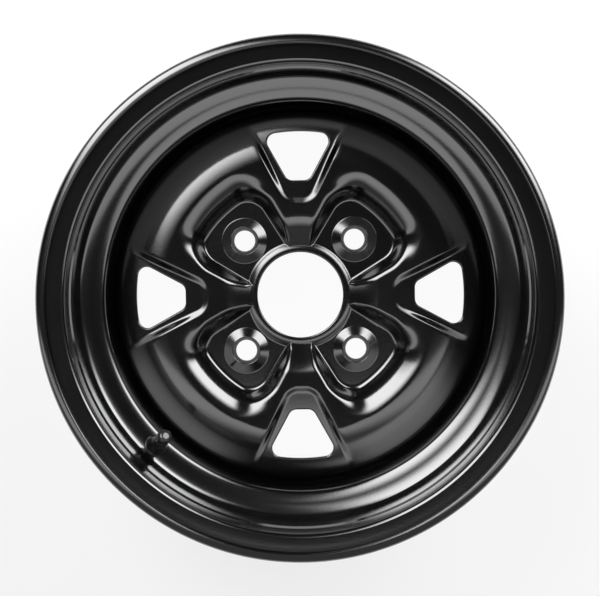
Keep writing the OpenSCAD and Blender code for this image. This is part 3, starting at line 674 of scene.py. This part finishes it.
def valve_rubber(finish):
    """The snap-in valve's rubber: head behind the rim, bulb and neck, and the mould's parting line."""
    low = -RIM_T - RUBBER_GAP
    section = bent([(STEM_R, low - 4), (7.1, low - 4, 0.8), (HEAD_R, low - 1, 1), (7.1, low + 0.4, 0.4),
                    (BULB_R, 2.8, 1.6), (5.3, 8, 4), (RUBBER_TOP_R, RUBBER_H, 0.6), (STEM_R, RUBBER_H)],
                   fine=8)
    bm = spun(section, steps=120)
    for v in bm.verts:
        r, a = v.co.xy.length, math.atan2(v.co.y, v.co.x)
        if r > STEM_R + 0.3 and 0.5 < v.co.z < RUBBER_H - 0.5:
            away = min(abs(math.sin(a)) * r / SEAM_HALF, 1)
            v.co.xy *= 1 + SEAM_H * (1 - away * away * (3 - 2 * away)) / r
    return piece(bm, "valve_rubber", "wheel", finish, "valve_body", VALVE_PLACE)


def threaded_stem(finish):
    """The brass stem: a flanged foot in the rubber, the cap's fine thread, and the bore for the core."""
    foot, ledge, seat_r = -RIM_T - RUBBER_GAP - 5, STEM_H - 18.1, CORE_R - 0.45
    rows = list(np.linspace(RUBBER_H + 0.2, STEM_H - 0.5, 50))
    section = [(STEM_BORE, foot), (STEM_R + 0.6, foot), (STEM_R + 0.7, foot + 0.1)]
    section += [(STEM_R + 0.7, foot + 0.9), (STEM_R, foot + 1)]
    section += [(STEM_R, z) for z in np.linspace(foot + 1.5, RUBBER_H, 6)]
    section += [(STEM_R, z) for z in rows]
    section += [(STEM_R - 0.5, STEM_H), (CORE_R + 0.3, STEM_H), (CORE_R, STEM_H - 0.4)]
    section += [(CORE_R, 12.7), (seat_r, 10.9), (seat_r, ledge), (STEM_BORE, ledge)]
    bm = spun(section, steps=72)
    for v in bm.verts:
        r, a = v.co.xy.length, math.atan2(v.co.y, v.co.x)
        if r > STEM_R - 0.01 and rows[0] - 0.01 < v.co.z < rows[-1] + 0.01:
            turn = (v.co.z / THREAD_PITCH - a / (2 * math.pi)) % 1
            cut = THREAD_DEPTH * (1 - abs(2 * turn - 1)) * min(1, (v.co.z - rows[0]) / 0.5)
            v.co.xy *= (r - cut) / r
    return piece(bm, "threaded_stem", "wheel", finish, "valve_stem", VALVE_PLACE)


def fluted_cap(finish):
    """The dust cap: a domed top, a grip of twelve flutes and a smooth bore."""
    section = bent([(CAP_BORE, CAP_TOP - CAP_ROOF), (CAP_BORE, CAP_LOW), (CAP_R - 0.3, CAP_LOW, 0.3),
                    (CAP_R, CAP_LOW + 0.6, 0.4), (CAP_R - 0.2, CAP_TOP - 1.6, 2.6),
                    (CAP_R - 2.4, CAP_TOP, 4.1), (0, CAP_TOP)])
    bm = spun(stepped(section, gap=0.7) + [Vector((0, CAP_TOP - CAP_ROOF))], steps=192)
    for v in bm.verts:
        r, a = v.co.xy.length, math.atan2(v.co.y, v.co.x)
        if r > CAP_BORE + 0.1 and v.co.z < CAP_TOP - 1.2:
            turn = (a * CAP_FLUTES / (2 * math.pi)) % 1
            aside = min(turn, 1 - turn) * 2 * math.pi * CAP_R / CAP_FLUTES
            fade = min(1, max(0, (CAP_TOP - 2.2 - v.co.z) / 0.8))
            v.co.xy *= (r - FLUTE_DEPTH * fade * max(0, 1 - (aside / FLUTE_HALF) ** 2)) / r
    return piece(bm, "fluted_cap", "cap", finish, "valve_cap", VALVE_PLACE)


coat, rubber = powder_coat(), moulded_rubber()
brass = turned_metal("turned_brass", "#a9853f", "#c9a65c", 0.22, 0.36)
steel = turned_metal("drawn_steel_wire", "#8c8c8a", "#b4b4b1", 0.24, 0.38)
rolled_rim(coat)
stamped_disc(coat)
weld_beads(coat)
valve_rubber(rubber)
threaded_stem(brass)
fluted_cap(moulded_nylon())
core_finishes = {"core_plug": brass, "core_barrel": brass, "core_seal": seal_plastic(),
                 "core_spring": steel, "core_pin": steel, "core_cup": rubber, "cap_washer": rubber}
for node, finish in core_finishes.items():
    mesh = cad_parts[node].data
    mesh.materials.clear()
    mesh.materials.append(finish)


# Floor, light and camera

def studio_floor():
    """A white paper floor that keeps a soft shadow. Under and round the wheel it glows whiter to the
    camera: painted light that fills the wheel's own shadow there, so that the openings show white. The
    paint mirrors it at a share of its white."""
    within, beyond, painted_fill_within, white_beyond, mirror_share = 0.152, 0.18, 0.95, 0.78, 0.4
    bm = bmesh.new()
    bmesh.ops.create_grid(bm, x_segments=1, y_segments=1, size=30)
    bmesh.ops.translate(bm, vec=(0, 0, cad_box[0].z - 0.0002), verts=bm.verts)
    mesh = bpy.data.meshes.new("studio_floor")
    bm.to_mesh(mesh)
    bm.free()
    mat = bpy.data.materials.new("white_paper")
    mat.use_nodes = True
    tree = mat.node_tree
    tree.nodes.clear()
    path = add(tree, "ShaderNodeLightPath")
    at = tree.nodes.new("ShaderNodeTexCoord").outputs["Object"]
    out = add(tree, "ShaderNodeVectorMath", {0: at}, operation="LENGTH")
    fade = {"From Min": within, "From Max": beyond, "To Min": painted_fill_within, "To Max": white_beyond}
    # Painted light: the camera-ray glow rises from the outer share to the share under the wheel, filling
    # the wheel's shadow on the floor
    white = add(tree, "ShaderNodeMapRange", {"Value": out.outputs["Value"], **fade})
    mirrored = add(tree, "ShaderNodeMath", {0: path.outputs["Is Glossy Ray"], 1: mirror_share},
                   operation="MULTIPLY")
    seen = {0: path.outputs["Is Camera Ray"], 1: white.outputs["Result"], 2: mirrored.outputs[0]}
    share = add(tree, "ShaderNodeMath", seen, operation="MULTIPLY_ADD")
    paper = add(tree, "ShaderNodeBsdfDiffuse", {"Color": linear("#e6e6e6")})
    glow = add(tree, "ShaderNodeEmission", {"Color": (1, 1, 1, 1), "Strength": 1.0})
    mix = add(tree, "ShaderNodeMixShader", {0: share.outputs[0], 1: paper.outputs[0], 2: glow.outputs[0]})
    add(tree, "ShaderNodeOutputMaterial", {"Surface": mix.outputs[0]})
    mesh.materials.append(mat)
    floor = bpy.data.objects.new("studio_floor", mesh)
    bpy.context.scene.collection.objects.link(floor)


def soft_light(name, spot, aim, width, height, radiance, soft=0.3, lean=0.0, card=False):
    """A soft box at a spot, facing an aim. It has that radiance in its middle, fades over the soft share
    at its edges, and narrows towards its top by its lean. A card shows only in reflections."""
    data = bpy.data.lights.new(name, "AREA")
    data.shape = "RECTANGLE"
    data.size, data.size_y = width, height
    data.energy = radiance * math.pi * width * height
    data.use_nodes = True
    tree = data.node_tree
    tree.nodes.clear()
    at = add(tree, "ShaderNodeNewGeometry").outputs["Parametric"]
    up = add(tree, "ShaderNodeSeparateXYZ", {0: at})
    narrow = add(tree, "ShaderNodeMath", {0: up.outputs["Y"], 1: lean, 2: 1.0}, operation="MULTIPLY_ADD")
    at = add(tree, "ShaderNodeVectorMath", {0: at, 1: (0.5, 0.5, 0)}, operation="SUBTRACT")
    at = add(tree, "ShaderNodeVectorMath", {0: at.outputs[0]}, operation="ABSOLUTE")
    at = add(tree, "ShaderNodeSeparateXYZ", {0: at.outputs[0]})
    side = add(tree, "ShaderNodeMath", {0: at.outputs["X"], 1: narrow.outputs[0]}, operation="MULTIPLY")
    wide, high = (add(tree, "ShaderNodeMapRange", {"Value": value, "From Min": 0.5, "From Max": 0.5 - soft},
                      interpolation_type="SMOOTHSTEP") for value in (side.outputs[0], at.outputs["Y"]))
    glow = add(tree, "ShaderNodeMath", {0: wide.outputs[0], 1: high.outputs[0]}, operation="MULTIPLY")
    glow = add(tree, "ShaderNodeEmission", {"Color": (1, 1, 1, 1), "Strength": glow.outputs[0]})
    add(tree, "ShaderNodeOutputLight", {"Surface": glow.outputs[0]})
    lamp = bpy.data.objects.new(name, data)
    lamp.location = spot
    lamp.visible_camera = False
    lamp.visible_diffuse = not card
    lamp.rotation_euler = (Vector(aim) - Vector(spot)).to_track_quat("-Z", "Y").to_euler()
    bpy.context.scene.collection.objects.link(lamp)


LIT_SPOT = (0, 0, 0.06)


def around(azimuth, height, far):
    """A spot by direction round the wheel, height over the horizon, and distance."""
    a, e = math.radians(azimuth), math.radians(height)
    way = Vector((math.cos(e) * math.cos(a), math.cos(e) * math.sin(a), math.sin(e)))
    return way * far + Vector(LIT_SPOT)


def studio():
    """The floor, two soft boxes, two cards that stand by the wheel's lower edge, and a dim room."""
    far, card_y, card_aim_y, card_width = 1.5, -0.168, 0.5, 3.4
    studio_floor()
    soft_light("upper_left_box", around(129, 48, far), LIT_SPOT, width=1.4, height=2.0, radiance=9.0,
               lean=0.9)
    soft_light("upper_right_box", around(41, 36, far), LIT_SPOT, width=1.73, height=1.73, radiance=9.0,
               lean=0.6)
    soft_light("low_card", (0, card_y, 0.69), (0, card_aim_y, 0.69), card_width, height=0.98, radiance=1.85,
               soft=0.28, card=True)
    soft_light("near_card", (0, card_y, 0.09), (0, card_aim_y, 0.09), card_width, height=0.3, radiance=0.25,
               soft=0.06, card=True)
    world = bpy.data.worlds.new("studio")
    world.use_nodes = True
    tree = world.node_tree
    tree.nodes.clear()
    path = add(tree, "ShaderNodeLightPath")
    room = add(tree, "ShaderNodeBackground", {"Color": (1, 1, 1, 1), "Strength": 0.03})
    back = add(tree, "ShaderNodeBackground", {"Color": (1, 1, 1, 1), "Strength": 1.0})
    seen = {0: path.outputs["Is Camera Ray"], 1: room.outputs[0], 2: back.outputs[0]}
    mix = add(tree, "ShaderNodeMixShader", seen)
    add(tree, "ShaderNodeOutputWorld", {"Surface": mix.outputs[0]})
    bpy.context.scene.world = world


def camera():
    """Straight on to the wheel's face from 1.03 m, a little above the axis, turned by a degree."""
    data = bpy.data.cameras.new("camera")
    data.sensor_width, data.lens = 36.0, 98.5
    spot, aim, roll = Vector((0.003, 0.025, 1.1705)), Vector((0.0001, 0.0008, 0.1365)), math.radians(0.95)
    back = (spot - aim).normalized()
    up = Vector((math.sin(roll), math.cos(roll), 0))
    right = up.cross(back).normalized()
    up = back.cross(right)
    turn = Matrix((right, up, back)).transposed()
    cam = bpy.data.objects.new("camera", data)
    cam.matrix_world = Matrix.Translation(spot) @ turn.to_4x4()
    bpy.context.scene.collection.objects.link(cam)
    bpy.context.scene.camera = cam


studio()
camera()
bpy.context.scene.view_settings.view_transform = "Standard"
